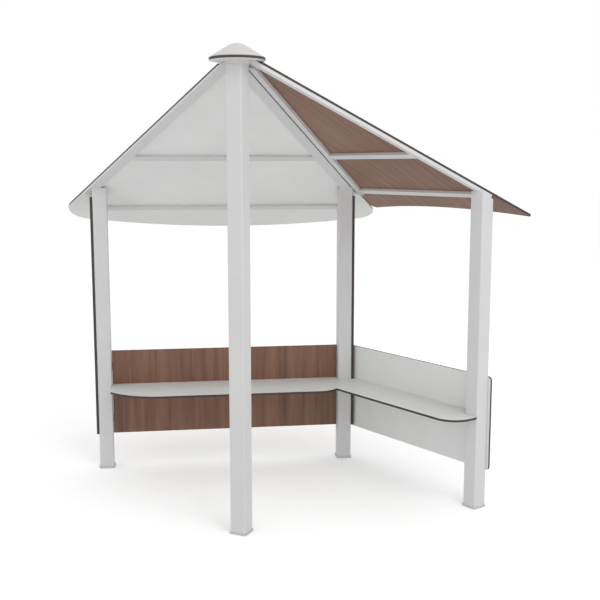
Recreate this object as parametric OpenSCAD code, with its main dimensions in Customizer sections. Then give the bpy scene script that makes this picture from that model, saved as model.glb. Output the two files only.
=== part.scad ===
// Open corner gazebo. Four square steel posts carry two sloping board roofs that meet at the front post.
// The left bay spans the front, left and back posts; the narrower right bay spans front, back and right.
// Millimetres, +Z up. The origin is the front post's axis on the floor.

/* [Plan] */
// Distance between the axes of the left and back posts
rear_side = 1600; // [1300:10:2200]
// Distance from the front post axis back to the line of the left and back posts
rear_depth = 1260; // [1000:10:1700]
// Distance from the front post axis to the right post axis
right_reach = 1405; // [1150:5:1900]
// Angle at the front post between the back post and the right post
right_angle = 49; // [44:0.5:56]

/* [Heights] */
// Underside of the roof boards at the axes of the rear posts
eave_height = 1844; // [1600:2:2300]
// Underside of the roof boards carried on to the front post's axis
apex_height = 2557; // [2300:1:3000]

/* [Posts] */
// Outside width of a square post
post_w = 90; // [60:1:140]
// Outside corner radius of a post
post_r = 6; // [2:0.5:15]
// Wall thickness of a post
post_wall = 3; // [2:0.5:6]
// Top of the front post
front_top = 2500; // [2200:1:2900]
// Thickness of the sloping head plate on a rear post
head_t = 6; // [4:1:12]

/* [Feet] */
// Width of a foot plate
foot_w = 102; // [80:1:200]
// Corner radius of a foot plate
foot_r = 12; // [3:1:30]
// Thickness of a foot plate
foot_t = 10; // [5:1:20]

/* [Roof] */
// Thickness of the roof boards
roof_t = 13; // [8:1:24]
// How far the left board reaches past its post line at the apex
left_side = 25; // [10:1:60]
// Angle by which the left board's outer side opens away from its post line
left_splay = 1.57; // [0:0.01:2.5]
// How far the right board reaches past its post line
right_side = 33; // [10:1:60]
// Angle from the line of the front and back posts to the hip joint
hip_turn = 2.04; // [1.6:0.01:3.2]
// Distance along the slope from the apex to the middle of the left board's lower edge
left_reach = 2008; // [1900:2:2400]
// Radius of the outward curve of the left board's lower edge
left_arc = 3805; // [3000:5:9000]
// Sideways position of the middle of that curve
left_arc_shift = 82; // [-100:1:150]
// Radius of the left board's outer lower corner
left_corner = 151; // [40:1:200]
// Radius of the left board's lower corner at the hip
left_hip_corner = 99; // [20:1:150]
// Distance along the slope from the apex to the lowest sag of the right board's lower edge
right_slope_reach = 1751; // [1600:1:2000]
// Radius of the inward curve of the right board's lower edge
right_arc = 3620; // [2500:10:9000]
// Sideways position of the middle of that curve
right_arc_shift = -156; // [-250:1:50]
// Radius of the right board's outer tip
right_tip = 6; // [3:1:30]
// Radius of the right board's lower corner at the hip
right_hip_corner = 42; // [10:1:80]

/* [Rafters and rails] */
// Width of the rafters of the left bay
rafter_w = 58; // [40:1:80]
// Width of the right bay's hip rafter
hip_rafter_w = 44; // [30:1:70]
// Width of the rafter over the right post
end_rafter_w = 36; // [25:1:70]
// Space between the two hip rafters, at the boards
hip_space = 20; // [16:1:30]
// Depth of a rafter
rafter_t = 18; // [12:1:40]
// Width of a cross rail
rail_w = 46; // [30:1:80]
// Depth of a cross rail
rail_t = 16; // [10:1:36]
// Upper edge of the upper rail of the left bay, in plan from the front post
left_rail_upper = 888; // [600:1:1000]
// Upper edge of the lower rail of the left bay, in plan from the front post
left_rail_lower = 1463; // [1360:1:1550]
// Length of the lower rail of the left bay
left_rail_length = 1640; // [1400:10:1800]
// Upper edge of the upper rail of the right bay, down its slope in plan
right_rail_upper = 926; // [600:1:1050]
// Upper edge of the lower rail of the right bay, down its slope in plan
right_rail_lower = 1340; // [1260:1:1400]

/* [Cap] */
// Radius of the cap disc
disc_r = 145; // [110:1:220]
// Thickness of the cap disc
disc_t = 13; // [8:1:24]
// Radius of the collar under the disc
collar_r = 63; // [50:1:90]
// Height of the collar
collar_h = 19; // [10:1:40]
// Radius of the dome at its foot
dome_r = 139; // [110:1:200]
// Height of the upright lip at the dome's foot
dome_lip = 5; // [4:1:12]
// Slope of the dome's straight flank
dome_pitch = 31.4; // [20:0.2:38]
// Radius of the dome's round top
dome_crown = 93; // [40:1:150]
// Wall thickness of the dome
dome_wall = 4; // [2:0.5:6]

/* [Seat] */
// Height of the seat's top face
seat_height = 555; // [400:1:600]
// Thickness of the seat boards
seat_t = 13; // [8:1:30]
// Distance from the front post's axis to the left seat's front edge
seat_left_front = 893; // [750:1:1000]
// Sideways position where the left seat's outer corner starts to curve
seat_outer_x = 430; // [350:5:600]
// Radius of the left seat's outer corner
seat_outer_r = 400; // [330:5:440]
// Radius of the left seat's corner beside the right seat
seat_inner_r = 150; // [60:5:200]
// Sideways position where the left seat's inner corner starts to curve
seat_inner_x = 575; // [450:1:620]
// Distance from the front post's axis to the right seat's front edge
seat_right_front = 1076; // [1000:1:1150]
// Radius of the right seat's outer corner
seat_end_r = 131; // [40:1:150]
// Depth of the bearers and gussets under the seat, at the backrests
bearer_h = 45; // [30:1:80]
// Width of a seat bearer
bearer_w = 40; // [25:1:60]
// Reach of a gusset in front of its bearer
gusset_reach = 210; // [100:5:230]
// Thickness of a gusset
gusset_t = 8; // [4:1:15]
// Depth of a gusset at its tip
gusset_tip = 12; // [8:1:30]
// Spacing of the gussets on the left bearer
gusset_gap_left = 560; // [300:10:640]
// Spacing of the gussets on the right bearer
gusset_gap_right = 400; // [250:10:480]
// Sideways position of the right bearer's middle gusset
gusset_mid_right = -100; // [-200:5:0]
// Wall thickness of a bearer
bearer_wall = 3; // [2:0.5:6]

/* [Backrests] */
// Height of the backrests' lower edge above the floor
back_z = 222; // [150:1:320]
// Height of a backrest board
back_h = 558; // [400:1:700]
// Thickness of a backrest board
back_t = 13; // [8:1:24]
// Distance of the left backrest's mid-plane behind its post axes
back_shift = 26; // [0:1:38]
// Gap between the left backrest and the posts at each end
back_end_gap = 2; // [1:0.5:12]
// How far the right backrest passes the right post's end face
back_overhang = 17; // [0:1:40]
// Radius of the right backrest's outer corners
back_corner = 22; // [5:1:60]
// Width of a lug behind the left backrest
lug_w = 40; // [25:1:70]
// Height of a lug
lug_h = 50; // [30:1:90]
// Thickness of a lug
lug_t = 6; // [4:1:12]
// Length of the bracket's leg on the side board
bracket_leg = 24; // [16:1:25]
// Height of the lower brackets above the backrest's lower edge
lug_low = 70; // [30:1:120]
// Height of the upper brackets above the backrest's lower edge
lug_high = 430; // [390:1:490]

/* [Side boards] */
// Thickness of a side board
side_t = 15; // [8:1:24]
// Depth of a side board
side_w = 90; // [60:1:140]
// Lower edge of a side board above the floor
side_z = 232; // [150:1:320]
// Top of a side board
side_top = 1792; // [1500:1:1794]
// Corner radius of a side board
side_r = 8; // [2:1:30]

/* [Fits] */
// Clearance between neighbouring pieces
fit = 0.3; // [0.1:0.05:1]
// Clearance between seat and roof boards and the pieces beside them
board_gap = 1; // [0.5:0.1:4]
// Width of the gap along the hip joint
hip_gap = 2; // [1:0.5:8]

/* [Hidden] */
far = 4000;
over = 2;
post_half = post_w / 2;
left_x = -rear_side / 2;
back_x = rear_side / 2;
hip_az = atan2(rear_depth, back_x);
right_az = hip_az - right_angle;
right_x = right_reach * cos(right_az);
right_y = right_reach * sin(right_az);
// Azimuth the right bay faces, square to the line between the back and right posts
bay_az = atan2(right_x - back_x, rear_depth - right_y);
bay_turn = bay_az - 90;
bay_depth = back_x * cos(bay_az) + rear_depth * sin(bay_az);
back_u = back_x * sin(bay_az) - rear_depth * cos(bay_az);
right_u = right_x * sin(bay_az) - right_y * cos(bay_az);
disc_z = front_top + collar_h;
pitch_left = atan((apex_height - eave_height) / rear_depth);
// The two slopes meet along the hip joint, so the right slope follows from it and the right post's eave
ridge_az = hip_az - hip_turn;
ridge_fall = sin(ridge_az) * tan(pitch_left);
end_fall = (apex_height - eave_height) / right_reach;
ridge_span = ridge_az - right_az;
fall_az = right_az + atan((ridge_fall / end_fall - cos(ridge_span)) / sin(ridge_span));
pitch_right = atan(end_fall / cos(fall_az - right_az));
bay_rear = bay_depth + post_half;
side_x = back_x + post_half + fit;
back_y = rear_depth + back_shift;

function dir(a) = [cos(a), sin(a)];
// Plan point to the slope's own plane
function on_left(p) = [p.x, p.y / cos(pitch_left)];
function on_right(p) =
  [p.x * sin(fall_az) - p.y * cos(fall_az), (p.x * cos(fall_az) + p.y * sin(fall_az)) / cos(pitch_right)];
function to_bay(p) = [p.x * sin(bay_az) - p.y * cos(bay_az), p.x * cos(bay_az) + p.y * sin(bay_az)];
// Point on a line set off to the right of an axis through the origin
function beside(a, along, off) = dir(a) * along + dir(a - 90) * off;
// Where a line from p along d crosses a circle, coming in for s = -1 or going out for s = 1
function cross_circle(p, d, c, r, s) =
  let (q = p - c, b = q * d / (d * d), k = (q * q - r * r) / (d * d)) p + d * (s * sqrt(b * b - k) - b);
function heading(p, q) = atan2(q.y - p.y, q.x - p.x);
// Centre of a corner radius r between the line p to q, with outward normal n, and a curve round c
function nest(p, q, n, c, reach, r, s) = cross_circle(p - n * r, q - p, c, reach - s * r, s);
// Where a board may start, down its slope in plan, to clear the collar and the cap disc
function board_start(pitch) =
  max(collar_r + board_gap, (apex_height + roof_t / cos(pitch) - disc_z + board_gap) / tan(pitch));

// Left slope: X across, Y down the slope, Z out of the board
module left_slope() { translate([0, 0, apex_height]) rotate([-pitch_left, 0, 0]) children(); }
// Right slope, in the same sense
module right_slope()
  translate([0, 0, apex_height]) rotate([0, 0, fall_az - 90]) rotate([-pitch_right, 0, 0]) children();
// Right bay's own frame: X from the back post to the right post, Y away from the front post
module bay() { rotate([0, 0, bay_turn]) children(); }

// Sliver outside a circle at c, between edges whose outward normals point to a0 and a1
module round_off(c, a0, a1, r) {
  difference() {
    polygon([c, c + dir(a0) * (r + over), c + dir((a0 + a1) / 2) * (r + over) / cos((a1 - a0) / 2),
      c + dir(a1) * (r + over)]);
    translate(c) circle(r = r, $fn = 96);
  }
}
// The same for a corner at p between straight edges
module corner(p, a0, a1, r) {
  round_off(p - dir((a0 + a1) / 2) * r / cos((a1 - a0) / 2), a0, a1, r);
}
// Square with round corners
module round_square(w, r) {
  difference() {
    square(w, center = true);
    for (q = [0, 1, 2, 3]) rotate(q * 90) corner([w / 2, w / 2], 0, 90, r);
  }
}
// Rounded upright board outline, from x0 to x1 and y0 to y1
module board_outline(x0, x1, y0, y1, r) {
  difference() {
    translate([x0, y0]) square([x1 - x0, y1 - y0]);
    corner([x1, y1], 0, 90, r);
    corner([x0, y1], 90, 180, r);
    corner([x0, y0], 180, 270, r);
    corner([x1, y0], 270, 360, r);
  }
}
module tube(z0, z1) {
  translate([0, 0, z0]) linear_extrude(z1 - z0) difference() {
    round_square(post_w, post_r);
    round_square(post_w - 2 * post_wall, post_r - post_wall);
  }
}
// Space a post takes, grown by a clearance
module post_space(c) {
  translate([-post_half - c, -post_half - c, 0]) cube([post_w + 2 * c, post_w + 2 * c, far]);
}
module at_left() { translate([left_x, rear_depth, 0]) children(); }
module at_back() { translate([back_x, rear_depth, 0]) children(); }
module at_right() { translate([right_x, right_y, 0]) rotate([0, 0, bay_turn]) children(); }
module at_front() { rotate([0, 0, hip_az]) children(); }
// Everything above a depth measured down from the boards' underside
module above_left(d) { left_slope() translate([-far, -far, -d]) cube([2 * far, 3 * far, far]); }
module above_right(d) { right_slope() translate([-far, -far, -d]) cube([2 * far, 3 * far, far]); }
// Space to the right or left of the hip joint
module right_of_hip(g) {
  rotate([0, 0, ridge_az - 90]) translate([-g, -far, 0]) cube([far, 2 * far, far]);
}
module left_of_hip(g) {
  rotate([0, 0, ridge_az - 90]) translate([g - far, -far, 0]) cube([far, 2 * far, far]);
}
// Where the right hip rafter crosses the back post's corner
module saddle() {
  intersection() {
    above_right(rafter_t + fit);
    right_of_hip(0);
  }
}
// Space kept clear round the collar and under the cap disc
module cap_space() {
  translate([0, 0, front_top - fit]) cylinder(h = far, r = collar_r + fit, $fn = 96);
  translate([0, 0, disc_z - fit]) cylinder(h = far, r = disc_r + fit, $fn = 96);
}

// Posts
module post_front() { color("Gainsboro") at_front() tube(foot_t, front_top); }
module post_left() {
  color("Gainsboro") difference() {
    at_left() tube(foot_t, apex_height);
    above_left(rafter_t + head_t);
  }
}
module post_back() {
  color("Gainsboro") difference() {
    at_back() tube(foot_t, apex_height);
    above_left(rafter_t + head_t);
    saddle();
  }
}
module post_right() {
  color("Gainsboro") difference() {
    at_right() tube(foot_t, apex_height);
    above_right(rafter_t + head_t);
  }
}
module head_layer() { translate([-far / 2, 0, -rafter_t - head_t]) cube([far, far, head_t]); }
module head_plate_left() {
  color("Gainsboro") intersection() {
    at_left() translate([0, 0, foot_t]) linear_extrude(far) round_square(post_w, post_r);
    left_slope() head_layer();
  }
}
module head_plate_back() {
  color("Gainsboro") difference() {
    intersection() {
      at_back() translate([0, 0, foot_t]) linear_extrude(far) round_square(post_w, post_r);
      left_slope() head_layer();
    }
    saddle();
  }
}
module head_plate_right() {
  color("Gainsboro") intersection() {
    at_right() translate([0, 0, foot_t]) linear_extrude(far) round_square(post_w, post_r);
    right_slope() head_layer();
  }
}

// Feet
module foot_plate() { linear_extrude(foot_t) round_square(foot_w, foot_r); }
module foot_front() { color("Silver") at_front() foot_plate(); }
module foot_left() { color("Silver") at_left() foot_plate(); }
module foot_back() { color("Silver") at_back() foot_plate(); }
module foot_right() { color("Silver") at_right() foot_plate(); }

// Cap
// How far the round top is raised, so that it crosses the straight flank cleanly
dome_blend = 0.05;
crown_z = dome_lip + (dome_r - dome_crown * sin(dome_pitch)) * tan(dome_pitch)
  - dome_crown * cos(dome_pitch);
// Half section of the dome, set in from its outer face by t
module dome_section(t) {
  crown = dome_crown - t;
  touch = [crown * sin(dome_pitch), crown_z + crown * cos(dome_pitch)];
  foot = dome_r - t;
  polygon([[0, -over], [foot, -over], [foot, touch.y - (foot - touch.x) * tan(dome_pitch)], touch,
    [0, touch.y]]);
  intersection() {
    translate([0, crown_z + dome_blend]) circle(r = crown, $fn = 240);
    translate([0, -over]) square([crown, far]);
  }
}
module cap_collar() {
  color("Gainsboro") translate([0, 0, front_top]) cylinder(h = collar_h, r = collar_r, $fn = 96);
}
module cap_disc() {
  color("WhiteSmoke") translate([0, 0, disc_z]) cylinder(h = disc_t, r = disc_r, $fn = 120);
}
module cap_dome() {
  color("WhiteSmoke") translate([0, 0, disc_z + disc_t]) rotate_extrude($fn = 120) {
    intersection() {
      difference() {
        dome_section(0);
        dome_section(dome_wall);
      }
      square([dome_r, dome_r]);
    }
  }
}

// Roof boards
left_az = 180 - hip_az + left_splay;
left_edge0 = on_left(beside(left_az, 0, -left_side));
left_edge1 = on_left(beside(left_az, far, -left_side));
left_joint0 = on_left(beside(ridge_az, 0, -hip_gap / 2));
left_joint1 = on_left(beside(ridge_az, far, -hip_gap / 2));
left_arc_c = [left_arc_shift, left_reach - left_arc];
left_edge_n = heading(left_edge0, left_edge1) + 90;
left_joint_n = heading(left_joint0, left_joint1) - 90;
left_corner_c = nest(left_edge0, left_edge1, dir(left_edge_n), left_arc_c, left_arc, left_corner, 1);
left_hip_c = nest(left_joint0, left_joint1, dir(left_joint_n), left_arc_c, left_arc, left_hip_corner, 1);
module left_outline() {
  difference() {
    intersection() {
      polygon([left_edge0, left_edge1, left_joint1, left_joint0]);
      translate(left_arc_c) circle(r = left_arc, $fn = 720);
      translate([-far, board_start(pitch_left) / cos(pitch_left)]) square([2 * far, far]);
    }
    round_off(left_corner_c, heading(left_arc_c, left_corner_c), left_edge_n, left_corner);
    round_off(left_hip_c, left_joint_n, heading(left_arc_c, left_hip_c), left_hip_corner);
  }
}
module roof_board_left() { color("WhiteSmoke") left_slope() linear_extrude(roof_t) left_outline(); }
right_edge0 = on_right(beside(right_az, 0, right_side));
right_edge1 = on_right(beside(right_az, far, right_side));
right_joint0 = on_right(beside(ridge_az, 0, hip_gap / 2));
right_joint1 = on_right(beside(ridge_az, far, hip_gap / 2));
right_arc_c = [right_arc_shift, right_slope_reach + right_arc];
right_edge_n = heading(right_edge0, right_edge1) - 90;
right_joint_n = heading(right_joint0, right_joint1) + 90;
right_tip_c = nest(right_edge0, right_edge1, dir(right_edge_n), right_arc_c, right_arc, right_tip, -1);
right_hip_c = nest(right_joint0, right_joint1, dir(right_joint_n), right_arc_c, right_arc, right_hip_corner, -1);
module right_outline() {
  difference() {
    polygon([right_edge0, right_edge1, right_joint1, right_joint0]);
    translate(right_arc_c) circle(r = right_arc, $fn = 720);
    translate([-far, right_arc_c.y]) square([2 * far, far]);
    translate([-far, -far]) square([2 * far, far + board_start(pitch_right) / cos(pitch_right)]);
    round_off(right_tip_c, right_edge_n, heading(right_tip_c, right_arc_c), right_tip);
    round_off(right_hip_c, heading(right_hip_c, right_arc_c), right_joint_n, right_hip_corner);
  }
}
module roof_board_right() { color("Sienna") right_slope() linear_extrude(roof_t) right_outline(); }

// Rafters: a strip on the left of the line e0 to e1, with clearance c round it
module strip(e0, e1, w, t, c = 0) {
  translate([e0.x, e0.y, -t]) rotate([0, 0, heading(e0, e1)])
    translate([0, -c, -c]) cube([norm(e1 - e0), w + 2 * c, t + 2 * c]);
}
left_eave = rear_depth + post_half;
right_eave = right_rail_lower + rail_w * cos(pitch_right);
hip_end = right_eave / cos(ridge_az - fall_az);
module rafter_left() {
  color("Gainsboro") difference() {
    left_slope() strip(on_left(beside(left_az, left_eave / sin(left_az), -left_side)), left_edge0,
      rafter_w, rafter_t);
    left_hip_strip(fit);
    at_front() post_space(fit);
    cap_space();
  }
}
module left_hip_strip(c) {
  left_slope() strip(on_left(beside(ridge_az, 0, -hip_space / 2)),
    on_left(beside(ridge_az, left_eave / sin(ridge_az), -hip_space / 2)), rafter_w, rafter_t, c);
}
module rafter_hip_left() {
  color("Gainsboro") difference() {
    left_hip_strip(0);
    at_front() post_space(fit);
    cap_space();
  }
}
module right_strip(c) {
  right_slope() strip(right_edge0, on_right(beside(right_az, right_reach + post_half, right_side)),
    end_rafter_w, rafter_t, c);
}
module rafter_right() {
  color("Gainsboro") difference() {
    right_strip(0);
    at_front() post_space(fit);
    cap_space();
    left_of_hip(hip_gap / 2);
  }
}
hip_outer = hip_space / 2 + hip_rafter_w;
module rafter_hip_right() {
  color("Gainsboro") difference() {
    right_slope() strip(on_right(beside(ridge_az, post_w, hip_outer)),
      on_right(beside(ridge_az, hip_end, hip_outer)), hip_rafter_w, rafter_t);
    right_strip(fit);
    at_front() post_space(fit);
    cap_space();
    left_of_hip(hip_gap / 2);
  }
}

// Cross rails, cut to the rafters' inner edges
function set_off(p, q, d) = p + dir(heading(p, q) + 90) * d;
module wedge(a0, a1, b0, b1) {
  polygon([set_off(a0, a1, -fit), set_off(a1, a0, fit), set_off(b1, b0, -fit), set_off(b0, b1, fit)]);
}
// The rails keep this far from the apex, where the rafters run together
rail_clear = 2 * post_w;
module left_wedge() {
  outer0 = on_left(beside(left_az, rail_clear, -left_side));
  inner0 = on_left(beside(ridge_az, rail_clear, -hip_space / 2));
  inner1 = on_left(beside(ridge_az, far, -hip_space / 2));
  wedge(set_off(outer0, left_edge1, -rafter_w), set_off(left_edge1, outer0, rafter_w),
    set_off(inner0, inner1, rafter_w), set_off(inner1, inner0, -rafter_w));
}
module right_wedge() {
  outer0 = on_right(beside(right_az, rail_clear, right_side));
  wedge(on_right(beside(ridge_az, rail_clear, hip_outer)), on_right(beside(ridge_az, far, hip_outer)),
    set_off(outer0, right_edge1, end_rafter_w), set_off(right_edge1, outer0, -end_rafter_w));
}
module rail_left_upper() {
  color("Gainsboro") left_slope() translate([0, 0, -rail_t]) linear_extrude(rail_t) intersection() {
    left_wedge();
    translate([-far, left_rail_upper / cos(pitch_left)]) square([2 * far, rail_w]);
  }
}
module rail_left_lower() {
  color("Gainsboro") left_slope()
    translate([-left_rail_length / 2, left_rail_lower / cos(pitch_left), -rail_t])
      cube([left_rail_length, rail_w, rail_t]);
}
module right_rail(v) {
  right_slope() translate([0, 0, -rail_t]) linear_extrude(rail_t) intersection() {
    right_wedge();
    translate([-far, v / cos(pitch_right)]) square([2 * far, rail_w]);
  }
}
module rail_right_upper() { color("Gainsboro") right_rail(right_rail_upper); }
module rail_right_lower() { color("Gainsboro") right_rail(right_rail_lower); }

// Backrests
module backrest_left() {
  color("Sienna") translate([left_x + post_half + back_end_gap, back_y - back_t / 2, back_z])
    cube([rear_side - post_w - 2 * back_end_gap, back_t, back_h]);
}
// Space on the left of the back post's side board
module beside_side_board(c) { translate([-far, -far, -far]) cube([far + side_x + side_t + c, 2 * far, 2 * far]); }
back_end = right_u + post_half + back_overhang;
module backrest_right() {
  color("WhiteSmoke") difference() {
    bay() translate([0, bay_rear + fit + back_t, back_z]) rotate([90, 0, 0]) linear_extrude(back_t)
      difference() {
        translate([back_u, 0]) square([back_end - back_u, back_h]);
        corner([back_end, back_h], 0, 90, back_corner);
        corner([back_end, 0], -90, 0, back_corner);
      }
    beside_side_board(fit);
  }
}
module lug(x) {
  for (h = [lug_low, lug_high])
    translate([x, back_y + back_t / 2 + fit, back_z + h]) cube([lug_w, lug_t, lug_h]);
}
module backrest_lugs_left() { color("Silver") lug(left_x + post_half + fit); }
module backrest_lugs_back() { color("Silver") lug(back_x - post_half - fit - lug_w); }
bracket_v = bay_rear + back_t + 2 * fit;
bracket_y = (bracket_v - (side_x + side_t) * cos(bay_az)) / sin(bay_az);
bracket_u = to_bay([side_x + side_t, bracket_y]).x;
module backrest_bracket() {
  color("Silver") difference() {
    for (h = [lug_low, lug_high]) translate([0, 0, back_z + h]) {
      translate([side_x + side_t, bracket_y, 0]) cube([lug_t, bracket_leg, lug_h]);
      bay() translate([bracket_u, bracket_v, 0]) cube([lug_w, lug_t, lug_h]);
    }
    beside_side_board(fit);
  }
}

// Seats
seat_z = seat_height - seat_t;
seat_back = back_y - back_t / 2 - board_gap;
seat_inner_c = [seat_inner_x, seat_left_front + seat_inner_r];
inner_drop = seat_right_front - to_bay(seat_inner_c).y;
seat_inner = seat_inner_c + dir(bay_az) * inner_drop
  + dir(bay_turn) * sqrt(pow(seat_inner_r, 2) - pow(inner_drop, 2));
// Everything right of the line from the inner corner to the back post's front face
module past_mitre(g) {
  translate(seat_inner) rotate(heading(seat_inner, [back_x, rear_depth - post_half]))
    translate([-far, -far - g]) square([2 * far, far]);
}
module seat_left() {
  corner_x = seat_inner_x + seat_inner_r;
  color("WhiteSmoke") translate([0, 0, seat_z]) linear_extrude(seat_t) difference() {
    translate([left_x + post_half + board_gap, seat_left_front])
      square([rear_side, seat_back - seat_left_front]);
    corner([corner_x, seat_left_front], 270, 360, seat_inner_r);
    corner([-seat_outer_x - seat_outer_r, seat_left_front], 180, 270, seat_outer_r);
    past_mitre(board_gap / 2);
    translate([back_x, rear_depth]) square(post_w + 2 * board_gap, center = true);
  }
}
module seat_right() {
  end_u = right_u + post_half;
  color("WhiteSmoke") translate([0, 0, seat_z]) linear_extrude(seat_t) difference() {
    rotate(bay_turn) difference() {
      translate([-far, seat_right_front]) square([far + end_u, bay_rear - board_gap - seat_right_front]);
      corner([end_u, seat_right_front], 270, 360, seat_end_r);
      translate([right_u, bay_depth]) square(post_w + 2 * board_gap, center = true);
    }
    before_mitre();
    translate([-far, rear_depth - post_half - board_gap])
      square([far + side_x + side_t + board_gap, far]);
  }
}
// Everything left of the mitre
module before_mitre() {
  translate(seat_inner) rotate(heading(seat_inner, [back_x, rear_depth - post_half]))
    translate([-far, -board_gap / 2]) square([2 * far, far]);
}
// Box-section bearer along +X with gussets reaching towards -Y
module bearer(x0, x1, y1) {
  y0 = y1 - bearer_w;
  difference() {
    translate([x0, y0, seat_z - bearer_h]) cube([x1 - x0, bearer_w, bearer_h]);
    translate([x0 - over, y0 + bearer_wall, seat_z - bearer_h + bearer_wall])
      cube([x1 - x0 + 2 * over, bearer_w - 2 * bearer_wall, bearer_h - 2 * bearer_wall]);
  }
}
module gussets(mid, gap, y0) {
  for (k = [-1, 0, 1]) translate([mid + k * gap - gusset_t / 2, y0, seat_z]) rotate([90, 0, 90])
    linear_extrude(gusset_t) polygon([[bearer_wall / 2, 0], [-gusset_reach, 0],
      [-gusset_reach, -gusset_tip], [0, -bearer_h], [bearer_wall / 2, -bearer_h]]);
}
module seat_frame_left() {
  y1 = back_y - back_t / 2 - fit;
  color("Silver") {
    bearer(left_x + post_half + fit, back_x - post_half - fit, y1);
    gussets(0, gusset_gap_left, y1 - bearer_w);
  }
}
module seat_frame_right() {
  color("Silver") difference() {
    bay() {
      bearer(back_u, right_u - post_half - fit, bay_rear);
      gussets(gusset_mid_right, gusset_gap_right, bay_rear - bearer_w);
    }
    beside_side_board(fit);
  }
}

// Side boards
module side_board() {
  rotate([90, 0, 90]) linear_extrude(side_t)
    board_outline(rear_depth - side_w / 2, rear_depth + side_w / 2, side_z, side_top, side_r);
}
module side_board_left() { color("Sienna") translate([-side_x - side_t, 0, 0]) side_board(); }
module side_board_back() { color("Sienna") translate([side_x, 0, 0]) side_board(); }

post_front();
post_left();
post_back();
post_right();
foot_front();
foot_left();
foot_back();
foot_right();
head_plate_left();
head_plate_back();
head_plate_right();
cap_collar();
cap_disc();
cap_dome();
roof_board_left();
roof_board_right();
rafter_left();
rafter_hip_left();
rafter_hip_right();
rafter_right();
rail_left_upper();
rail_left_lower();
rail_right_upper();
rail_right_lower();
backrest_left();
backrest_right();
backrest_lugs_left();
backrest_lugs_back();
backrest_bracket();
seat_left();
seat_right();
seat_frame_left();
seat_frame_right();
side_board_left();
side_board_back();
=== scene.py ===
"""Looks for an open corner gazebo: powder-coated steel posts and frames, compact laminate boards."""

from __future__ import annotations

import logging
import math
from dataclasses import dataclass, field
from enum import Enum
from typing import Any

import bpy
from mathutils import Matrix, Vector


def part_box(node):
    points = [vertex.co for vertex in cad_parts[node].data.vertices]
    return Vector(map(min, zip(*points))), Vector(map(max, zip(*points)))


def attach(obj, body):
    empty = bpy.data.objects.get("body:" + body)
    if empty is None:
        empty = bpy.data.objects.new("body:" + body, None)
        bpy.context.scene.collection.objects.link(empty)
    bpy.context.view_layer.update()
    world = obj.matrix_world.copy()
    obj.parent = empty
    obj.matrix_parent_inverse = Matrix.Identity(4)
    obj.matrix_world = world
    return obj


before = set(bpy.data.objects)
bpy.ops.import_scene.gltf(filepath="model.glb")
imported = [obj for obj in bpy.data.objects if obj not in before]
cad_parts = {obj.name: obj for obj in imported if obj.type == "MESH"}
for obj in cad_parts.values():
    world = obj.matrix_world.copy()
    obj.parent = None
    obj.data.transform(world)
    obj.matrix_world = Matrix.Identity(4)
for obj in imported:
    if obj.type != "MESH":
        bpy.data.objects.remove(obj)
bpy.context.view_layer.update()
MM = 0.001
UP = Vector((0.0, 0.0, 1.0))

log = logging.getLogger("gazebo")


class Slot(Enum):
    """Material slots of the record."""

    BRACKET = "bracket_steel"


class Grain(Enum):
    """Which way a decor's grain runs on its board."""

    UPRIGHT = "upright"
    DOWN_SLOPE = "down the slope"


# ---------------------------------------------------------------- colours and nodes


def linear(hex_colour: str) -> tuple[float, float, float, float]:
    """Turn an sRGB hex colour into the linear RGBA that shaders take.

    Args:
        hex_colour: six hex digits, such as "8A7F70".

    Returns:
        Linear red, green, blue and an alpha of 1.
    """
    parts = [int(hex_colour[i : i + 2], 16) / 255 for i in (0, 2, 4)]
    r, g, b = (p / 12.92 if p <= 0.04045 else ((p + 0.055) / 1.055) ** 2.4 for p in parts)
    return (r, g, b, 1.0)


def add(tree: bpy.types.NodeTree, kind: str, inputs: dict[Any, Any] | None = None, **settings: Any) -> Any:
    """Add one node with its settings, values and links.

    Args:
        tree: the node tree that takes it.
        kind: Blender's node type name, without its ShaderNode prefix.
        inputs: socket name or index to a value, or to the output socket that feeds it.
        settings: properties set on the node itself; stops fills a colour ramp.

    Returns:
        The new node.
    """
    node = tree.nodes.new("ShaderNode" + kind)
    for name, value in settings.items():
        if name == "stops":
            elements = node.color_ramp.elements
            while len(elements) < len(value):
                elements.new(0.5)
            for element, (position, colour) in zip(elements, value):
                element.position = position
                element.color = linear(colour)
        else:
            setattr(node, name, value)
    for key, value in (inputs or {}).items():
        if isinstance(value, bpy.types.NodeSocket):
            tree.links.new(value, node.inputs[key])
        else:
            node.inputs[key].default_value = value
    return node


def new_material(name: str) -> tuple[bpy.types.Material, bpy.types.NodeTree]:
    """Make an empty node material.

    Args:
        name: what the real finish is called.

    Returns:
        The material and its cleared node tree.
    """
    material = bpy.data.materials.new(name)
    material.use_nodes = True
    material.node_tree.nodes.clear()
    return material, material.node_tree


def finish_surface(tree: bpy.types.NodeTree, **sockets: Any) -> None:
    """End a tree in a Principled shader.

    Args:
        tree: the node tree to end.
        sockets: shader inputs, with underscores for the spaces in their names.
    """
    inputs = {name.replace("_", " "): value for name, value in sockets.items()}
    shader = add(tree, "BsdfPrincipled", inputs)
    add(tree, "OutputMaterial", {"Surface": shader.outputs[0]})


LEVEL_NORMAL = 0.99
FACE_LIMIT = 0.8


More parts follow.
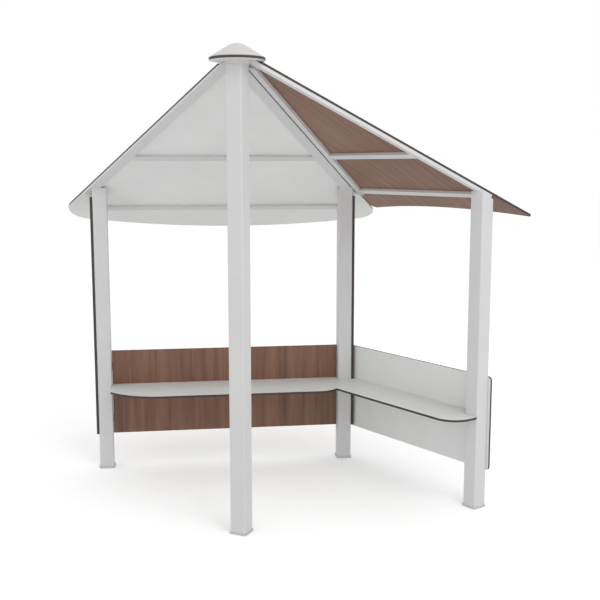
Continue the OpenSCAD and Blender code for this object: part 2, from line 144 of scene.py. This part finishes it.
@dataclass(frozen=True)
class BoardAxes:
    """A flat board's own directions, read from its CAD mesh."""

    normal: Vector
    along: Vector
    across: Vector

    @staticmethod
    def of(node: bpy.types.Object, grain: Grain) -> "BoardAxes":
        """Find the board's normal from its faces, and lay the grain on it.

        Args:
            node: the CAD node.
            grain: the way the grain runs.

        Returns:
            The three unit directions.
        """
        widest: dict[tuple[float, float, float], float] = {}
        for face in node.data.polygons:
            n = face.normal if face.normal.z + face.normal.y * 0.1 > 0 else -face.normal
            key = (round(n.x, 3), round(n.y, 3), round(n.z, 3))
            widest[key] = widest.get(key, 0.0) + face.area
        normal = Vector(max(widest, key=lambda k: widest[k])).normalized()
        lead = UP if grain is Grain.UPRIGHT else -UP
        if abs(normal.z) > LEVEL_NORMAL:
            lead = Vector((1.0, 0.0, 0.0))
        along = (lead - normal * lead.dot(normal)).normalized()
        return BoardAxes(normal, along, normal.cross(along).normalized())


def board_point(tree: bpy.types.NodeTree, axes: BoardAxes) -> Any:
    """Give surface points in the board's own metres: across, along, out.

    Args:
        tree: the node tree that takes the nodes.
        axes: the board's directions.

    Returns:
        The vector socket.
    """
    place = add(tree, "TexCoord").outputs["Object"]
    parts = [
        add(tree, "VectorMath", {0: place, 1: axis}, operation="DOT_PRODUCT").outputs["Value"]
        for axis in (axes.across, axes.along, axes.normal)
    ]
    return add(tree, "CombineXYZ", {0: parts[0], 1: parts[1], 2: parts[2]}).outputs[0]


def core_mask(tree: bpy.types.NodeTree, axes: BoardAxes) -> Any:
    """Tell a board's cut edges from its decor faces.

    Args:
        tree: the node tree that takes the nodes.
        axes: the board's directions.

    Returns:
        A socket that is 1 on a cut edge and 0 on a face.
    """
    facing = add(tree, "NewGeometry").outputs["True Normal"]
    square = add(tree, "VectorMath", {0: facing, 1: axes.normal}, operation="DOT_PRODUCT")
    size = add(tree, "Math", {0: square.outputs["Value"]}, operation="ABSOLUTE")
    return add(tree, "Math", {0: size.outputs[0], 1: FACE_LIMIT}, operation="LESS_THAN").outputs[0]


# ---------------------------------------------------------------- finishes


@dataclass(frozen=True)
class PowderCoat:
    """Polyester powder coat, sprayed dry on steel and baked.

    It gives the eye an even satin skin with a faint orange peel a few millimetres across.
    """

    name: str
    colour: str
    shade: str
    roughness: float = 0.45
    peel_mm: float = 3.0
    peel_height_mm: float = 0.04
    peel_strength: float = 0.3
    cloud_mm: float = 420.0
    cloud_low: float = 0.3
    cloud_high: float = 0.7
    gloss_below: float = 0.04
    gloss_above: float = 0.05

    def make(self) -> bpy.types.Material:
        """Build the material.

        Returns:
            The finished material.
        """
        material, tree = new_material(self.name)
        point = add(tree, "TexCoord").outputs["Object"]
        cloud = add(tree, "TexNoise", {"Vector": point, "Scale": 1 / (self.cloud_mm * MM), "Detail": 3.0})
        stops = [(self.cloud_low, self.shade), (self.cloud_high, self.colour)]
        tone = add(tree, "ValToRGB", {0: cloud.outputs[0]}, stops=stops)
        peel = add(tree, "TexNoise", {"Vector": point, "Scale": 1 / (self.peel_mm * MM), "Detail": 1.5})
        depth = self.peel_height_mm * MM
        relief = {"Height": peel.outputs[0], "Strength": self.peel_strength, "Distance": depth}
        bump = add(tree, "Bump", relief)
        spread = {
            0: cloud.outputs[0],
            1: self.cloud_low,
            2: self.cloud_high,
            3: self.roughness - self.gloss_below,
            4: self.roughness + self.gloss_above,
        }
        gloss = add(tree, "MapRange", spread)
        finish_surface(
            tree,
            Base_Color=tone.outputs[0],
            Roughness=gloss.outputs[0],
            Normal=bump.outputs[0],
            IOR=1.5,
        )
        return material


@dataclass(frozen=True)
class CompactLaminate:
    """Compact laminate: a pressed phenolic core with a plain decor paper on each face.

    It gives the eye a flat, finely pearled matt face, and a near-black cut edge with faint layers.
    """

    name: str
    colour: str
    shade: str
    core: str = "332C29"
    core_light: str = "47403B"
    roughness: float = 0.5
    edge_roughness: float = 0.62
    pearl_mm: float = 1.6
    pearl_depth_mm: float = 0.05
    pearl_strength: float = 0.25
    layer_mm: float = 1.1
    layer_drift: float = 6.0
    cloud_mm: float = 300.0

    def decor(self, tree: bpy.types.NodeTree, point: Any) -> Any:
        """Colour the decor paper.

        Args:
            tree: the node tree.
            point: points in the board's own metres.

        Returns:
            The colour socket.
        """
        cloud = add(tree, "TexNoise", {"Vector": point, "Scale": 1 / (self.cloud_mm * MM), "Detail": 4.0})
        stops = [(0.3, self.shade), (0.7, self.colour)]
        return add(tree, "ValToRGB", {0: cloud.outputs[0]}, stops=stops).outputs[0]

    def relief(self, tree: bpy.types.NodeTree, point: Any) -> Any:
        """Give the pressed pearl texture of the face.

        Args:
            tree: the node tree.
            point: points in the board's own metres.

        Returns:
            The height socket.
        """
        pearl = {"Vector": point, "Scale": 1 / (self.pearl_mm * MM), "Detail": 2.0}
        return add(tree, "TexNoise", pearl).outputs[0]

    def make(self, axes: BoardAxes) -> bpy.types.Material:
        """Build the material for one board.

        Args:
            axes: the board's own directions.

        Returns:
            The finished material.
        """
        material, tree = new_material(self.name)
        point = board_point(tree, axes)
        edge = core_mask(tree, axes)
        per_metre = (self.layer_drift, self.layer_drift, 1 / (self.layer_mm * MM))
        layers = add(tree, "Mapping", {"Vector": point, "Scale": per_metre})
        core_noise = add(tree, "TexNoise", {"Vector": layers.outputs[0], "Scale": 1.0, "Detail": 2.0})
        stops = [(0.35, self.core), (0.7, self.core_light)]
        core = add(tree, "ValToRGB", {0: core_noise.outputs[0]}, stops=stops)
        faces = self.decor(tree, point)
        tone = add(tree, "Mix", {0: edge, 6: faces, 7: core.outputs[0]}, data_type="RGBA")
        height, depth = self.relief(tree, point), self.pearl_depth_mm * MM
        bump = add(tree, "Bump", {"Height": height, "Strength": self.pearl_strength, "Distance": depth})
        gloss = add(tree, "MapRange", {0: edge, 1: 0.0, 2: 1.0, 3: self.roughness, 4: self.edge_roughness})
        finish_surface(
            tree, Base_Color=tone.outputs[2], Roughness=gloss.outputs[0], Normal=bump.outputs[0], IOR=1.52
        )
        return material


@dataclass(frozen=True)
class WalnutLaminate(CompactLaminate):
    """Compact laminate with a printed walnut decor.

    It gives the eye brown leaves with straight streaks a few centimetres wide, finer grain within
    them, and short dark pores, all under one matt melamine face.
    """

    dark: str = "5E4336"
    streak_mm: float = 34.0
    leaf_mm: float = 125.0
    fibre_mm: float = 7.0
    pore_mm: float = 2.4
    streak_stretch: float = 26.0
    leaf_stretch: float = 60.0
    fibre_stretch: float = 40.0
    pore_stretch: float = 22.0
    leaf_weight: float = 0.45
    streak_weight: float = 0.9
    fibre_weight: float = 0.45
    level_low: float = 0.62
    level_high: float = 1.18
    shade_stop: float = 0.42
    pore_darkness: float = 0.55

    def _stretched(self, tree: bpy.types.NodeTree, point: Any, width_mm: float, stretch: float) -> Any:
        """Sample noise drawn out along the grain.

        Args:
            tree: the node tree.
            point: points in the board's own metres.
            width_mm: feature width across the grain.
            stretch: how many widths long a feature is.

        Returns:
            The noise value socket.
        """
        size = width_mm * MM
        per_metre = (1 / size, 1 / (size * stretch), 0.3 / size)
        mapped = add(tree, "Mapping", {"Vector": point, "Scale": per_metre})
        noise = {"Vector": mapped.outputs[0], "Scale": 1.0, "Detail": 3.0, "Roughness": 0.55}
        return add(tree, "TexNoise", noise).outputs[0]

    def decor(self, tree: bpy.types.NodeTree, point: Any) -> Any:
        """Print leaves, streaks, fibres and pores.

        Args:
            tree: the node tree.
            point: points in the board's own metres.

        Returns:
            The colour socket.
        """
        streak = self._stretched(tree, point, self.streak_mm, self.streak_stretch)
        leaf = self._stretched(tree, point, self.leaf_mm, self.leaf_stretch)
        fibre = self._stretched(tree, point, self.fibre_mm, self.fibre_stretch)
        pore = self._stretched(tree, point, self.pore_mm, self.pore_stretch)
        level: Any = 0.0
        for noise, weight in (
            (leaf, self.leaf_weight),
            (streak, self.streak_weight),
            (fibre, self.fibre_weight),
        ):
            level = add(tree, "Math", {0: noise, 1: weight, 2: level}, operation="MULTIPLY_ADD").outputs[0]
        spread = add(tree, "MapRange", {0: level, 1: self.level_low, 2: self.level_high, 3: 0.0, 4: 1.0})
        stops = [(0.0, self.dark), (self.shade_stop, self.shade), (1.0, self.colour)]
        tone = add(tree, "ValToRGB", {0: spread.outputs[0]}, stops=stops)
        holes = add(tree, "MapRange", {0: pore, 1: 0.3, 2: 0.38, 3: self.pore_darkness, 4: 0.0})
        inks = {0: holes.outputs[0], 6: tone.outputs[0], 7: linear(self.dark)}
        return add(tree, "Mix", inks, data_type="RGBA").outputs[2]

    def relief(self, tree: bpy.types.NodeTree, point: Any) -> Any:
        """Give the pressed fibre texture of the face.

        Args:
            tree: the node tree.
            point: points in the board's own metres.

        Returns:
            The height socket.
        """
        return self._stretched(tree, point, self.pore_mm, self.pore_stretch)


@dataclass(frozen=True)
class StainlessScrew:
    """Turned and rolled stainless steel, as on small screws.

    It gives the eye a bright satin metal with fine turning marks.
    """

    name: str = "stainless steel screw"
    colour: str = "B9BABB"
    shade: str = "A4A5A7"
    roughness: float = 0.32
    mark_mm: float = 0.8
    gloss_below: float = 0.06
    gloss_above: float = 0.08

    def make(self) -> bpy.types.Material:
        """Build the material.

        Returns:
            The finished material.
        """
        material, tree = new_material(self.name)
        point = add(tree, "TexCoord").outputs["Object"]
        marks = add(tree, "TexNoise", {"Vector": point, "Scale": 1 / (self.mark_mm * MM), "Detail": 2.0})
        stops = [(0.35, self.shade), (0.65, self.colour)]
        tone = add(tree, "ValToRGB", {0: marks.outputs[0]}, stops=stops)
        low, high = self.roughness - self.gloss_below, self.roughness + self.gloss_above
        gloss = add(tree, "MapRange", {0: marks.outputs[0], 1: 0.3, 2: 0.7, 3: low, 4: high})
        finish_surface(tree, Base_Color=tone.outputs[0], Roughness=gloss.outputs[0], Metallic=1.0)
        return material


POST_COAT = PowderCoat("powder coated steel light grey", "D6D6D6", "D1D1D1")
FOOT_COAT = PowderCoat("powder coated steel foot plate", "C9C9C8", "BFBFBE", roughness=0.5)
BRACKET_COAT = PowderCoat("powder coated steel bracket", "CDCDCC", "C6C6C5")
DOME_COAT = PowderCoat("powder coated spun steel", "CFCBCB", "C9C5C5")
LIGHT_LAMINATE = CompactLaminate("compact laminate light grey", "DCDEDC", "D6D8D6")
PEARL_LAMINATE = CompactLaminate("compact laminate pearl white", "E9EAE9", "E3E4E3")
WALNUT_LAMINATE = WalnutLaminate("compact laminate walnut decor", "926A54", "7B5743", dark="624130")
SCREW_STEEL = StainlessScrew()


# ---------------------------------------------------------------- shared shapes


@dataclass
class ScrewSet:
    """Button-head screws with a hex socket, each on a flat washer, joined to one piece."""

    name: str
    head_radius: float = 7.0 * MM
    head_height: float = 3.6 * MM
    washer_radius: float = 9.5 * MM
    washer_thick: float = 1.4 * MM
    socket: float = 3.0 * MM
    socket_depth: float = 2.2 * MM
    dome_degrees: tuple[int, ...] = (0, 18, 36, 52)
    flat_degrees: int = 60
    sides: int = 24
    places: list[tuple[Vector, Vector]] = field(default_factory=list)

    def add(self, point: Vector, normal: Vector) -> None:
        """Put one screw on a surface.

        Args:
            point: the screw's centre on the surface, in metres.
            normal: the surface's outward normal.
        """
        self.places.append((point, normal.normalized()))

    def _rings(self) -> list[tuple[float, float, bool]]:
        """Return the lathe rings from the surface up: radius, height, and whether it is hexagonal."""
        t, h = self.washer_thick, self.head_height
        dome = [
            (self.head_radius * math.cos(a), t + h * math.sin(a), False)
            for a in map(math.radians, self.dome_degrees)
        ]
        flat = t + h * math.sin(math.radians(self.flat_degrees))
        return [
            (self.washer_radius, 0.0, False),
            (self.washer_radius, t * 0.75, False),
            (self.washer_radius - t * 0.3, t, False),
            *dome,
            (self.socket * 1.2, flat, False),
            (self.socket, flat, True),
            (self.socket, flat - self.socket_depth, True),
        ]

    def build(self, material: bpy.types.Material, slot: Slot) -> bpy.types.Object:
        """Make all the screws as one mesh.

        Args:
            material: their finish.
            slot: not used.

        Returns:
            The new piece.
        """
        verts: list[Vector] = []
        faces: list[tuple[int, ...]] = []
        n = self.sides
        for point, normal in self.places:
            turn = UP.rotation_difference(normal).to_matrix().to_4x4()
            place = Matrix.Translation(point) @ turn
            start = len(verts)
            rings = self._rings()
            for radius, height, hexagonal in rings:
                for k in range(n):
                    angle = 2 * math.pi * k / n
                    r = radius
                    if hexagonal:
                        r = radius / math.cos((angle % (math.pi / 3)) - math.pi / 6)
                    verts.append(place @ Vector((r * math.cos(angle), r * math.sin(angle), height)))
            for ring in range(len(rings) - 1):
                for k in range(n):
                    a = start + ring * n + k
                    b = start + ring * n + (k + 1) % n
                    faces.append((a, b, b + n, a + n))
            last = start + (len(rings) - 1) * n
            faces.append(tuple(last + k for k in range(n)))
            faces.append(tuple(start + k for k in reversed(range(n))))
        return piece(self.name, verts, faces, material)


def piece(
    name: str, verts: list[Vector], faces: list[tuple[int, ...]], material: bpy.types.Material
) -> bpy.types.Object:
    """Make a mesh piece that rides on the gazebo.

    Args:
        name: the piece's name.
        verts: its points in metres.
        faces: its faces.
        material: its finish.

    Returns:
        The new object.
    """
    mesh = bpy.data.meshes.new(name)
    mesh.from_pydata(verts, [], faces)
    mesh.materials.append(material)
    mesh.validate()
    mesh.update()
    made = bpy.data.objects.new(name, mesh)
    bpy.context.scene.collection.objects.link(made)
    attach(made, "root")
    log.info("made %s: %d faces", name, len(faces))
    return made


def dress(name: str, material: bpy.types.Material) -> None:
    """Give a CAD node its finish.

    Args:
        name: the node's name.
        material: the finish.
    """
    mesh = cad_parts[name].data
    mesh.materials.clear()
    mesh.materials.append(material)
    log.info("dressed %s", name)


# ---------------------------------------------------------------- plan


@dataclass(frozen=True)
class Plan:
    """Plan and roof sizes in metres, as in the part's source."""

    rear_side: float = 1.600
    rear_depth: float = 1.260
    right_reach: float = 1.405
    right_angle: float = 49.0
    eave: float = 1.844
    apex: float = 2.557
    hip_turn: float = 2.04
    left_splay: float = 1.57
    post: float = 0.090
    roof_thick: float = 0.013

    @property
    def hip_azimuth(self) -> float:
        """Direction from the front post to the back post, in radians."""
        return math.atan2(self.rear_depth, self.rear_side / 2)

    @property
    def right_azimuth(self) -> float:
        """Direction from the front post to the right post, in radians."""
        return self.hip_azimuth - math.radians(self.right_angle)

    @property
    def right_post(self) -> Vector:
        """Right post's axis on the floor."""
        a = self.right_azimuth
        return Vector((self.right_reach * math.cos(a), self.right_reach * math.sin(a), 0.0))

    @property
    def bay_azimuth(self) -> float:
        """Direction that the right bay faces, in radians."""
        p = self.right_post
        return math.atan2(p.x - self.rear_side / 2, self.rear_depth - p.y)

    @property
    def ridge_azimuth(self) -> float:
        """Direction of the joint between the two roof boards, in radians."""
        return self.hip_azimuth - math.radians(self.hip_turn)

    @property
    def right_fall(self) -> tuple[float, float]:
        """Direction in which the right board falls, in radians, and its fall per metre."""
        drop = self.apex - self.eave
        ridge = math.sin(self.ridge_azimuth) * drop / self.rear_depth
        end = drop / self.right_reach
        span = self.ridge_azimuth - self.right_azimuth
        turn = math.atan((ridge / end - math.cos(span)) / math.sin(span))
        return self.right_azimuth + turn, end / math.cos(turn)

    def roof_top(self, x: float, y: float, left: bool) -> tuple[Vector, Vector]:
        """Find a point on a roof board's upper face.

        Args:
            x: plan position across.
            y: plan position to the back.
            left: True for the left bay's board.

        Returns:
            The point and the board's upward normal.
        """
        left_fall = (self.apex - self.eave) / self.rear_depth
        azimuth, fall = (math.pi / 2, left_fall) if left else self.right_fall
        down = Vector((math.cos(azimuth), math.sin(azimuth), 0.0))
        pitch = math.atan(fall)
        reach = Vector((x, y, 0.0)).dot(down)
        height = self.apex - reach * math.tan(pitch) + self.roof_thick / math.cos(pitch)
        return Vector((x, y, height)), (down * math.sin(pitch) + UP * math.cos(pitch)).normalized()


PLAN = Plan()


# ---------------------------------------------------------------- sub-assemblies


@dataclass
class SteelWork:
    """Posts, feet, head plates, rafters and cross rails."""

    frame_nodes: tuple[str, ...] = (
        "post_front",
        "post_left",
        "post_back",
        "post_right",
        "head_plate_left",
        "head_plate_back",
        "head_plate_right",
        "rafter_left",
        "rafter_hip_left",
        "rafter_hip_right",
        "rafter_right",
        "rail_left_upper",
        "rail_left_lower",
        "rail_right_upper",
        "rail_right_lower",
        "cap_collar",
    )
    foot_nodes: tuple[str, ...] = ("foot_front", "foot_left", "foot_back", "foot_right")

    def build(self) -> None:
        """Dress the steel."""
        coat = POST_COAT.make()
        for name in self.frame_nodes:
            dress(name, coat)
        foot = FOOT_COAT.make()
        for name in self.foot_nodes:
            dress(name, foot)


@dataclass
class Roof:
    """The two roof boards and the screws through them, and the cap."""

    screw_spacing: float = 0.32
    first_screw: float = 0.26
    last_screw: float = 1.34
    edge_inset: float = 0.004
    hip_inset: tuple[float, float] = (-0.037, 0.032)
    right_inset: float = 0.015
    rail_ys: tuple[float, float] = (0.908, 1.483)
    rail_halves: tuple[float, float] = (0.46, 0.72)
    bay_rail_vs: tuple[float, float] = (0.946, 1.360)
    bay_rail_ends: tuple[tuple[float, float], ...] = ((-0.4, 0.24), (-0.62, 0.37))

    def build(self) -> None:
        """Dress the boards and the cap, and fix them."""
        for name, laminate in (("roof_board_left", PEARL_LAMINATE), ("roof_board_right", WALNUT_LAMINATE)):
            axes = BoardAxes.of(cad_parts[name], Grain.DOWN_SLOPE)
            dress(name, laminate.make(axes))
        disc = BoardAxes.of(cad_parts["cap_disc"], Grain.UPRIGHT)
        dress("cap_disc", LIGHT_LAMINATE.make(disc))
        dress("cap_dome", DOME_COAT.make())
        self._screws()

    def _screws(self) -> None:
        """Fix each board along its rafters and rails, from above."""
        steel = SCREW_STEEL.make()
        for name, left in (("roof_screws_left", True), ("roof_screws_right", False)):
            screws = ScrewSet(name)
            for point in self._rafter_points(left) + self._rail_points(left):
                screws.add(*PLAN.roof_top(point.x, point.y, left))
            screws.build(steel, Slot.BRACKET)

    def _rafter_points(self, left: bool) -> list[Vector]:
        """Return plan points over the two rafters of a bay."""
        ridge = PLAN.ridge_azimuth
        outer = math.pi - PLAN.hip_azimuth + math.radians(PLAN.left_splay)
        lines = (
            [(outer, self.edge_inset), (ridge, self.hip_inset[0])]
            if left
            else [(ridge, self.hip_inset[1]), (PLAN.right_azimuth, self.right_inset)]
        )
        points = []
        for azimuth, off in lines:
            along = Vector((math.cos(azimuth), math.sin(azimuth), 0.0))
            side = Vector((math.sin(azimuth), -math.cos(azimuth), 0.0))
            reach = self.first_screw
            while reach < self.last_screw:
                points.append(along * reach + side * off)
                reach += self.screw_spacing
        return points

    def _rail_points(self, left: bool) -> list[Vector]:
        """Return plan points over the cross rails of a bay."""
        points = []
        if left:
            for y, half in zip(self.rail_ys, self.rail_halves):
                points += [Vector((half * k / 2, y, 0.0)) for k in (-2, -1, 0, 1, 2)]
            return points
        a = PLAN.right_fall[0]
        across = Vector((math.sin(a), -math.cos(a), 0.0))
        down = Vector((math.cos(a), math.sin(a), 0.0))
        for v, ends in zip(self.bay_rail_vs, self.bay_rail_ends):
            points += [across * (ends[0] + (ends[1] - ends[0]) * k / 3) + down * v for k in range(4)]
        return points


@dataclass
class Bench:
    """Seat boards and the steel that carries them."""

    seats: tuple[str, ...] = ("seat_left", "seat_right")
    frames: tuple[str, ...] = ("seat_frame_left", "seat_frame_right")

    def build(self) -> None:
        """Dress the seats and their bearers."""
        for name in self.seats:
            dress(name, LIGHT_LAMINATE.make(BoardAxes.of(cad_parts[name], Grain.UPRIGHT)))
        coat = BRACKET_COAT.make()
        for name in self.frames:
            dress(name, coat)


@dataclass
class Backrests:
    """Backrest boards, their lugs and brackets, and the screws that hold them."""

    lug_heights: tuple[float, float] = (0.317, 0.677)
    post_screw_heights: tuple[float, ...] = (0.300, 0.501, 0.702)
    board_thick: float = 0.013
    clearance: float = 0.0003

    def build(self) -> None:
        """Dress the boards and fix them."""
        for name, laminate in (("backrest_left", WALNUT_LAMINATE), ("backrest_right", PEARL_LAMINATE)):
            dress(name, laminate.make(BoardAxes.of(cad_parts[name], Grain.UPRIGHT)))
        coat = BRACKET_COAT.make()
        for name in ("backrest_lugs_left", "backrest_lugs_back", "backrest_bracket"):
            dress(name, coat)
        self._screws()

    def _screws(self) -> None:
        """Screw the lugs from behind, and the right board to the right post."""
        steel = SCREW_STEEL.make()
        behind = ScrewSet("backrest_screws_left")
        for name in ("backrest_lugs_left", "backrest_lugs_back"):
            low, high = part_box(name)
            for z in self.lug_heights:
                behind.add(Vector(((low[0] + high[0]) / 2, high[1], z)), Vector((0, 1, 0)))
        behind.build(steel, Slot.BRACKET)
        a = PLAN.bay_azimuth
        out = Vector((math.cos(a), math.sin(a), 0.0))
        wall = ScrewSet("backrest_screws_right")
        post = PLAN.right_post
        face = post + out * (PLAN.post / 2 + self.clearance + self.board_thick)
        for z in self.post_screw_heights:
            wall.add(face + UP * z, out)
        wall.build(steel, Slot.BRACKET)


@dataclass
class SideBoards:
    """Tall narrow boards on the outer faces of the left and back posts."""

    nodes: tuple[str, ...] = ("side_board_left", "side_board_back")
    screw_heights: tuple[float, ...] = (0.36, 0.82, 1.28, 1.68)

    def build(self) -> None:
        """Dress the boards and screw them on from outside."""
        steel = SCREW_STEEL.make()
        for name, side in zip(self.nodes, (-1.0, 1.0)):
            dress(name, WALNUT_LAMINATE.make(BoardAxes.of(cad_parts[name], Grain.UPRIGHT)))
            low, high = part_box(name)
            screws = ScrewSet(name.replace("board", "screws"))
            x = high[0] if side > 0 else low[0]
            for z in self.screw_heights:
                screws.add(Vector((x, (low[1] + high[1]) / 2, z)), Vector((side, 0, 0)))
            screws.build(steel, Slot.BRACKET)


# ---------------------------------------------------------------- studio


@dataclass
class Studio:
    """Plain pale floor, even soft light and the camera."""

    camera_place: tuple[float, float, float] = (-0.356, -4.869, 1.984)
    camera_drop: float = 8.163
    camera_turn: float = -7.944
    lens_mm: float = 55.83
    floor_half: float = 60.0
    sky: float = 0.86
    key_watts: float = 130.0
    key_size: float = 5.0
    key_place: tuple[float, float, float] = (2.5, -4.5, 6.5)
    key_aim: tuple[float, float, float] = (0.3, 0.8, 1.0)
    floor_tone: float = 0.9
    floor_shown: float = 1.12
    floor_lift: float = 0.04

    def build(self) -> None:
        """Make the camera, world, floor and lamp."""
        self._camera()
        self._world()
        self._floor()
        self._lamp()

    def _camera(self) -> None:
        """Place the camera at the view the object is judged from."""
        data = bpy.data.cameras.new("camera")
        data.lens = self.lens_mm
        data.sensor_width = 36.0
        data.clip_end = 200.0
        camera = bpy.data.objects.new("camera", data)
        camera.location = self.camera_place
        camera.rotation_euler = (math.radians(90 - self.camera_drop), 0.0, math.radians(self.camera_turn))
        bpy.context.scene.collection.objects.link(camera)
        bpy.context.scene.camera = camera

    def _world(self) -> None:
        """Light evenly from all round, and show white behind everything."""
        world = bpy.data.worlds.new("white room")
        bpy.context.scene.world = world
        world.use_nodes = True
        tree = world.node_tree
        tree.nodes.clear()
        path = add(tree, "LightPath")
        light = add(tree, "Background", {"Color": (1, 1, 1, 1), "Strength": self.sky})
        seen = add(tree, "Background", {"Color": (1, 1, 1, 1), "Strength": 1.0})
        shown = path.outputs["Is Camera Ray"]
        for name in ("Is Glossy Ray", "Is Transmission Ray"):
            shown = add(tree, "Math", {0: shown, 1: path.outputs[name]}, operation="MAXIMUM").outputs[0]
        mix = add(tree, "MixShader", {0: shown, 1: light.outputs[0], 2: seen.outputs[0]})
        add(tree, "OutputWorld", {"Surface": mix.outputs[0]})

    def _floor(self) -> None:
        """Lay the pale floor, white where nothing shades it."""
        mesh = bpy.data.meshes.new("floor")
        h = self.floor_half
        mesh.from_pydata([(-h, -h, 0), (h, -h, 0), (h, h, 0), (-h, h, 0)], [], [(0, 1, 2, 3)])
        floor = bpy.data.objects.new("floor", mesh)
        bpy.context.scene.collection.objects.link(floor)
        material, tree = new_material("matt white floor")
        path = add(tree, "LightPath")
        matt = add(tree, "BsdfDiffuse", {"Color": (*[self.floor_tone] * 3, 1)})
        bright = add(tree, "BsdfDiffuse", {"Color": (*[self.floor_shown] * 3, 1)})
        lift = add(tree, "Emission", {"Color": (1, 1, 1, 1), "Strength": self.floor_lift})
        both = add(tree, "AddShader", {0: bright.outputs[0], 1: lift.outputs[0]})
        shown = path.outputs["Is Camera Ray"]
        mix = add(tree, "MixShader", {0: shown, 1: matt.outputs[0], 2: both.outputs[0]})
        add(tree, "OutputMaterial", {"Surface": mix.outputs[0]})
        mesh.materials.append(material)

    def _lamp(self) -> None:
        """Hang one broad soft lamp in front, high on the right."""
        data = bpy.data.lights.new("key", "AREA")
        data.shape = "DISK"
        data.size = self.key_size
        data.energy = self.key_watts
        lamp = bpy.data.objects.new("key", data)
        lamp.location = self.key_place
        aim = Vector(self.key_aim) - lamp.location
        lamp.rotation_euler = aim.to_track_quat("-Z", "Y").to_euler()
        bpy.context.scene.collection.objects.link(lamp)


def main() -> None:
    """Build every class in order."""
    logging.basicConfig(level=logging.INFO, format="%(message)s")
    bpy.context.scene.view_settings.view_transform = "Standard"
    for part in (Studio(), SteelWork(), Roof(), Bench(), Backrests(), SideBoards()):
        part.build()
        log.info("built %s", type(part).__name__)


if __name__ == "__main__":
    main()
